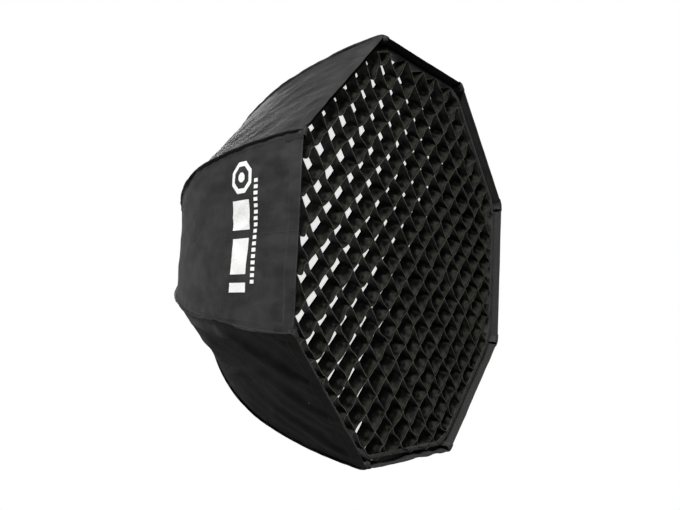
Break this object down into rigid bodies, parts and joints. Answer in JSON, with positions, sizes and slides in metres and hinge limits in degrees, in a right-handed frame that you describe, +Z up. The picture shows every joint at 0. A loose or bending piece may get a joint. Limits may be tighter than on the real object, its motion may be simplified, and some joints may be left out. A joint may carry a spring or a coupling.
{
  "type": "octabox",
  "caption": "Folding octagonal softbox: black ribbed canopy on a bayonet hub with sliding runner, white front diffuser and egg-crate fabric grid.",
  "frame": {"origin": "centre of the speed ring bore at its rear face, where the flash seats", "axes": "+Z up, the box faces -Y, +X to the right when looking along +Y at the front; +Y points back to the flash along the bore"},
  "size_m": [0.873, 0.5958, 0.873],
  "materials": {
    "alloy_black": "satin black powder coat",
    "nylon_black": "moulded glass-filled nylon",
    "steel_screws": "black oxide",
    "steel_pins": "ground",
    "steel_posts": "polished",
    "bush_acetal": "acetal",
    "spring_steel": "drawn wire",
    "button_grey": "satin",
    "rod_black": "semi-gloss black",
    "fittings_steel": "pressed",
    "canopy_black": "woven nylon, black outside and silver inside",
    "diffuser_white": "woven translucent white",
    "grid_black": "coated woven strip",
    "grid_webbing": "woven edge band"
  },
  "bodies": {
    "hub": {"speed_ring": "alloy_black", "hub_housing": "nylon_black", "hub_front_plate": "alloy_black", "hub_screws": "steel_screws", "rib_hinge_pins": "steel_pins", "guide_posts": "steel_posts", "nose_ring": "nylon_black", "post_screws": "steel_screws", "rear_collar": "canopy_black"},
    "runner": {"runner_ring": "nylon_black", "runner_bushes": "bush_acetal", "latch_springs": "spring_steel", "button_spring_left": "spring_steel", "button_spring_right": "spring_steel"},
    "rib_1": {"rib_1": "rod_black", "rib_fittings_1": "fittings_steel"},
    "stretcher_1": {"stretcher_1": "rod_black"},
    "panel_1_a": {"canopy_1_a": "canopy_black"},
    "panel_1_b": {"canopy_1_b": "canopy_black"},
    "rib_2": {"rib_2": "rod_black", "rib_fittings_2": "fittings_steel"},
    "stretcher_2": {"stretcher_2": "rod_black"},
    "panel_2_a": {"canopy_2_a": "canopy_black"},
    "panel_2_b": {"canopy_2_b": "canopy_black"},
    "rib_3": {"rib_3": "rod_black", "rib_fittings_3": "fittings_steel"},
    "stretcher_3": {"stretcher_3": "rod_black"},
    "panel_3_a": {"canopy_3_a": "canopy_black"},
    "panel_3_b": {"canopy_3_b": "canopy_black"},
    "rib_4": {"rib_4": "rod_black", "rib_fittings_4": "fittings_steel"},
    "stretcher_4": {"stretcher_4": "rod_black"},
    "panel_4_a": {"canopy_4_a": "canopy_black"},
    "panel_4_b": {"canopy_4_b": "canopy_black"},
    "rib_5": {"rib_5": "rod_black", "rib_fittings_5": "fittings_steel"},
    "stretcher_5": {"stretcher_5": "rod_black"},
    "panel_5_a": {"canopy_5_a": "canopy_black"},
    "panel_5_b": {"canopy_5_b": "canopy_black"},
    "rib_6": {"rib_6": "rod_black", "rib_fittings_6": "fittings_steel"},
    "stretcher_6": {"stretcher_6": "rod_black"},
    "panel_6_a": {"canopy_6_a": "canopy_black"},
    "panel_6_b": {"canopy_6_b": "canopy_black"},
    "rib_7": {"rib_7": "rod_black", "rib_fittings_7": "fittings_steel"},
    "stretcher_7": {"stretcher_7": "rod_black"},
    "panel_7_a": {"canopy_7_a": "canopy_black"},
    "panel_7_b": {"canopy_7_b": "canopy_black"},
    "rib_8": {"rib_8": "rod_black", "rib_fittings_8": "fittings_steel"},
    "stretcher_8": {"stretcher_8": "rod_black"},
    "panel_8_a": {"canopy_8_a": "canopy_black"},
    "panel_8_b": {"canopy_8_b": "canopy_black"},
    "front_set": {"front_diffuser": "diffuser_white"},
    "grid": {"grid_border": "grid_webbing", "grid_strips_a": "grid_black", "grid_strips_b": "grid_black"},
    "button_left": {"release_button_left": "button_grey"},
    "button_right": {"release_button_right": "button_grey"}
  },
  "joints": [
    {"name": "fold", "type": "slide", "parent": "hub", "child": "runner", "axis": [0, -1, 0], "range_m": [0, 0.11368], "deforming": ["canopy_1_a", "canopy_1_b", "canopy_2_a", "canopy_2_b", "canopy_3_a", "canopy_3_b", "canopy_4_a", "canopy_4_b", "canopy_5_a", "canopy_5_b", "canopy_6_a", "canopy_6_b", "canopy_7_a", "canopy_7_b", "canopy_8_a", "canopy_8_b", "front_diffuser", "grid_strips_a", "grid_strips_b", "grid_border", "latch_springs"]},
    {"name": "rib_1_fold", "type": "hinge", "parent": "hub", "child": "rib_1", "pos_m": [0.06837, -0.028, 0.02832], "axis": [0.3827, 0, -0.9239], "range_deg": [0, 39.1]},
    {"name": "stretcher_1_swing", "type": "hinge", "parent": "rib_1", "child": "stretcher_1", "pos_m": [0.16561, -0.07015, 0.0686], "axis": [-0.3827, 0, 0.9239], "range_deg": [0, 78.2]},
    {"name": "panel_1_a_crease", "type": "hinge", "parent": "rib_1", "child": "panel_1_a", "pos_m": [0.06837, -0.028, 0.02832], "axis": [-0.0058, 0.1324, 0.9912], "range_deg": [0, 20.85]},
    {"name": "panel_1_b_crease", "type": "hinge", "parent": "rib_1", "child": "panel_1_b", "pos_m": [0.06837, -0.028, 0.02832], "axis": [-0.6968, -0.1324, 0.705], "range_deg": [0, 20.85]},
    {"name": "rib_2_fold", "type": "hinge", "parent": "hub", "child": "rib_2", "pos_m": [0.02832, -0.028, 0.06837], "axis": [0.9239, 0, -0.3827], "range_deg": [0, 39.1]},
    {"name": "stretcher_2_swing", "type": "hinge", "parent": "rib_2", "child": "stretcher_2", "pos_m": [0.0686, -0.07015, 0.16561], "axis": [-0.9239, 0, 0.3827], "range_deg": [0, 78.2]},
    {"name": "panel_2_a_crease", "type": "hinge", "parent": "rib_2", "child": "panel_2_a", "pos_m": [0.02832, -0.028, 0.06837], "axis": [-0.705, 0.1324, 0.6968], "range_deg": [0, 20.85]},
    {"name": "panel_2_b_crease", "type": "hinge", "parent": "rib_2", "child": "panel_2_b", "pos_m": [0.02832, -0.028, 0.06837], "axis": [-0.9912, -0.1324, 0.0058], "range_deg": [0, 20.85]},
    {"name": "rib_3_fold", "type": "hinge", "parent": "hub", "child": "rib_3", "pos_m": [-0.02832, -0.028, 0.06837], "axis": [0.9239, 0, 0.3827], "range_deg": [0, 39.1]},
    {"name": "stretcher_3_swing", "type": "hinge", "parent": "rib_3", "child": "stretcher_3", "pos_m": [-0.0686, -0.07015, 0.16561], "axis": [-0.9239, 0, -0.3827], "range_deg": [0, 78.2]},
    {"name": "panel_3_a_crease", "type": "hinge", "parent": "rib_3", "child": "panel_3_a", "pos_m": [-0.02832, -0.028, 0.06837], "axis": [-0.9912, 0.1324, -0.0058], "range_deg": [0, 20.85]},
    {"name": "panel_3_b_crease", "type": "hinge", "parent": "rib_3", "child": "panel_3_b", "pos_m": [-0.02832, -0.028, 0.06837], "axis": [-0.705, -0.1324, -0.6968], "range_deg": [0, 20.85]},
    {"name": "rib_4_fold", "type": "hinge", "parent": "hub", "child": "rib_4", "pos_m": [-0.06837, -0.028, 0.02832], "axis": [0.3827, 0, 0.9239], "range_deg": [0, 39.1]},
    {"name": "stretcher_4_swing", "type": "hinge", "parent": "rib_4", "child": "stretcher_4", "pos_m": [-0.16561, -0.07015, 0.0686], "axis": [-0.3827, 0, -0.9239], "range_deg": [0, 78.2]},
    {"name": "panel_4_a_crease", "type": "hinge", "parent": "rib_4", "child": "panel_4_a", "pos_m": [-0.06837, -0.028, 0.02832], "axis": [-0.6968, 0.1324, -0.705], "range_deg": [0, 20.85]},
    {"name": "panel_4_b_crease", "type": "hinge", "parent": "rib_4", "child": "panel_4_b", "pos_m": [-0.06837, -0.028, 0.02832], "axis": [-0.0058, -0.1324, -0.9912], "range_deg": [0, 20.85]},
    {"name": "rib_5_fold", "type": "hinge", "parent": "hub", "child": "rib_5", "pos_m": [-0.06837, -0.028, -0.02832], "axis": [-0.3827, 0, 0.9239], "range_deg": [0, 39.1]},
    {"name": "stretcher_5_swing", "type": "hinge", "parent": "rib_5", "child": "stretcher_5", "pos_m": [-0.16561, -0.07015, -0.0686], "axis": [0.3827, 0, -0.9239], "range_deg": [0, 78.2]},
    {"name": "panel_5_a_crease", "type": "hinge", "parent": "rib_5", "child": "panel_5_a", "pos_m": [-0.06837, -0.028, -0.02832], "axis": [0.0058, 0.1324, -0.9912], "range_deg": [0, 20.85]},
    {"name": "panel_5_b_crease", "type": "hinge", "parent": "rib_5", "child": "panel_5_b", "pos_m": [-0.06837, -0.028, -0.02832], "axis": [0.6968, -0.1324, -0.705], "range_deg": [0, 20.85]},
    {"name": "rib_6_fold", "type": "hinge", "parent": "hub", "child": "rib_6", "pos_m": [-0.02832, -0.028, -0.06837], "axis": [-0.9239, 0, 0.3827], "range_deg": [0, 39.1]},
    {"name": "stretcher_6_swing", "type": "hinge", "parent": "rib_6", "child": "stretcher_6", "pos_m": [-0.0686, -0.07015, -0.16561], "axis": [0.9239, 0, -0.3827], "range_deg": [0, 78.2]},
    {"name": "panel_6_a_crease", "type": "hinge", "parent": "rib_6", "child": "panel_6_a", "pos_m": [-0.02832, -0.028, -0.06837], "axis": [0.705, 0.1324, -0.6968], "range_deg": [0, 20.85]},
    {"name": "panel_6_b_crease", "type": "hinge", "parent": "rib_6", "child": "panel_6_b", "pos_m": [-0.02832, -0.028, -0.06837], "axis": [0.9912, -0.1324, -0.0058], "range_deg": [0, 20.85]},
    {"name": "rib_7_fold", "type": "hinge", "parent": "hub", "child": "rib_7", "pos_m": [0.02832, -0.028, -0.06837], "axis": [-0.9239, 0, -0.3827], "range_deg": [0, 39.1]},
    {"name": "stretcher_7_swing", "type": "hinge", "parent": "rib_7", "child": "stretcher_7", "pos_m": [0.0686, -0.07015, -0.16561], "axis": [0.9239, 0, 0.3827], "range_deg": [0, 78.2]},
    {"name": "panel_7_a_crease", "type": "hinge", "parent": "rib_7", "child": "panel_7_a", "pos_m": [0.02832, -0.028, -0.06837], "axis": [0.9912, 0.1324, 0.0058], "range_deg": [0, 20.85]},
    {"name": "panel_7_b_crease", "type": "hinge", "parent": "rib_7", "child": "panel_7_b", "pos_m": [0.02832, -0.028, -0.06837], "axis": [0.705, -0.1324, 0.6968], "range_deg": [0, 20.85]},
    {"name": "rib_8_fold", "type": "hinge", "parent": "hub", "child": "rib_8", "pos_m": [0.06837, -0.028, -0.02832], "axis": [-0.3827, 0, -0.9239], "range_deg": [0, 39.1]},
    {"name": "stretcher_8_swing", "type": "hinge", "parent": "rib_8", "child": "stretcher_8", "pos_m": [0.16561, -0.07015, -0.0686], "axis": [0.3827, 0, 0.9239], "range_deg": [0, 78.2]},
    {"name": "panel_8_a_crease", "type": "hinge", "parent": "rib_8", "child": "panel_8_a", "pos_m": [0.06837, -0.028, -0.02832], "axis": [0.6968, 0.1324, 0.705], "range_deg": [0, 20.85]},
    {"name": "panel_8_b_crease", "type": "hinge", "parent": "rib_8", "child": "panel_8_b", "pos_m": [0.06837, -0.028, -0.02832], "axis": [0.0058, -0.1324, 0.9912], "range_deg": [0, 20.85]},
    {"name": "front_release", "type": "slide", "parent": "hub", "child": "front_set", "axis": [0, -1, 0], "range_m": [0, 0.421]},
    {"name": "grid_release", "type": "slide", "parent": "front_set", "child": "grid", "axis": [0, -1, 0], "range_m": [0, 0.15]},
    {"name": "button_left_press", "type": "slide", "parent": "runner", "child": "button_left", "axis": [1, 0, 0], "range_m": [0, 0.003], "stiffness_N_per_m": 400, "springref_m": -0.002, "deforming": ["button_spring_left"]},
    {"name": "button_right_press", "type": "slide", "parent": "runner", "child": "button_right", "axis": [-1, 0, 0], "range_m": [0, 0.003], "stiffness_N_per_m": 400, "springref_m": -0.002, "deforming": ["button_spring_right"]}
  ],
  "couplings": [
    {"joint": "rib_1_fold", "follows": "fold", "rad_per_m": 5.9872},
    {"joint": "stretcher_1_swing", "follows": "fold", "rad_per_m": 11.974},
    {"joint": "panel_1_a_crease", "follows": "fold", "rad_per_m": 3.1859},
    {"joint": "panel_1_b_crease", "follows": "fold", "rad_per_m": 3.1859},
    {"joint": "rib_2_fold", "follows": "fold", "rad_per_m": 5.9872},
    {"joint": "stretcher_2_swing", "follows": "fold", "rad_per_m": 11.974},
    {"joint": "panel_2_a_crease", "follows": "fold", "rad_per_m": 3.1859},
    {"joint": "panel_2_b_crease", "follows": "fold", "rad_per_m": 3.1859},
    {"joint": "rib_3_fold", "follows": "fold", "rad_per_m": 5.9872},
    {"joint": "stretcher_3_swing", "follows": "fold", "rad_per_m": 11.974},
    {"joint": "panel_3_a_crease", "follows": "fold", "rad_per_m": 3.1859},
    {"joint": "panel_3_b_crease", "follows": "fold", "rad_per_m": 3.1859},
    {"joint": "rib_4_fold", "follows": "fold", "rad_per_m": 5.9872},
    {"joint": "stretcher_4_swing", "follows": "fold", "rad_per_m": 11.974},
    {"joint": "panel_4_a_crease", "follows": "fold", "rad_per_m": 3.1859},
    {"joint": "panel_4_b_crease", "follows": "fold", "rad_per_m": 3.1859},
    {"joint": "rib_5_fold", "follows": "fold", "rad_per_m": 5.9872},
    {"joint": "stretcher_5_swing", "follows": "fold", "rad_per_m": 11.974},
    {"joint": "panel_5_a_crease", "follows": "fold", "rad_per_m": 3.1859},
    {"joint": "panel_5_b_crease", "follows": "fold", "rad_per_m": 3.1859},
    {"joint": "rib_6_fold", "follows": "fold", "rad_per_m": 5.9872},
    {"joint": "stretcher_6_swing", "follows": "fold", "rad_per_m": 11.974},
    {"joint": "panel_6_a_crease", "follows": "fold", "rad_per_m": 3.1859},
    {"joint": "panel_6_b_crease", "follows": "fold", "rad_per_m": 3.1859},
    {"joint": "rib_7_fold", "follows": "fold", "rad_per_m": 5.9872},
    {"joint": "stretcher_7_swing", "follows": "fold", "rad_per_m": 11.974},
    {"joint": "panel_7_a_crease", "follows": "fold", "rad_per_m": 3.1859},
    {"joint": "panel_7_b_crease", "follows": "fold", "rad_per_m": 3.1859},
    {"joint": "rib_8_fold", "follows": "fold", "rad_per_m": 5.9872},
    {"joint": "stretcher_8_swing", "follows": "fold", "rad_per_m": 11.974},
    {"joint": "panel_8_a_crease", "follows": "fold", "rad_per_m": 3.1859},
    {"joint": "panel_8_b_crease", "follows": "fold", "rad_per_m": 3.1859},
    {"joint": "front_release", "follows": "fold", "ratio": 3.6943}
  ]
}
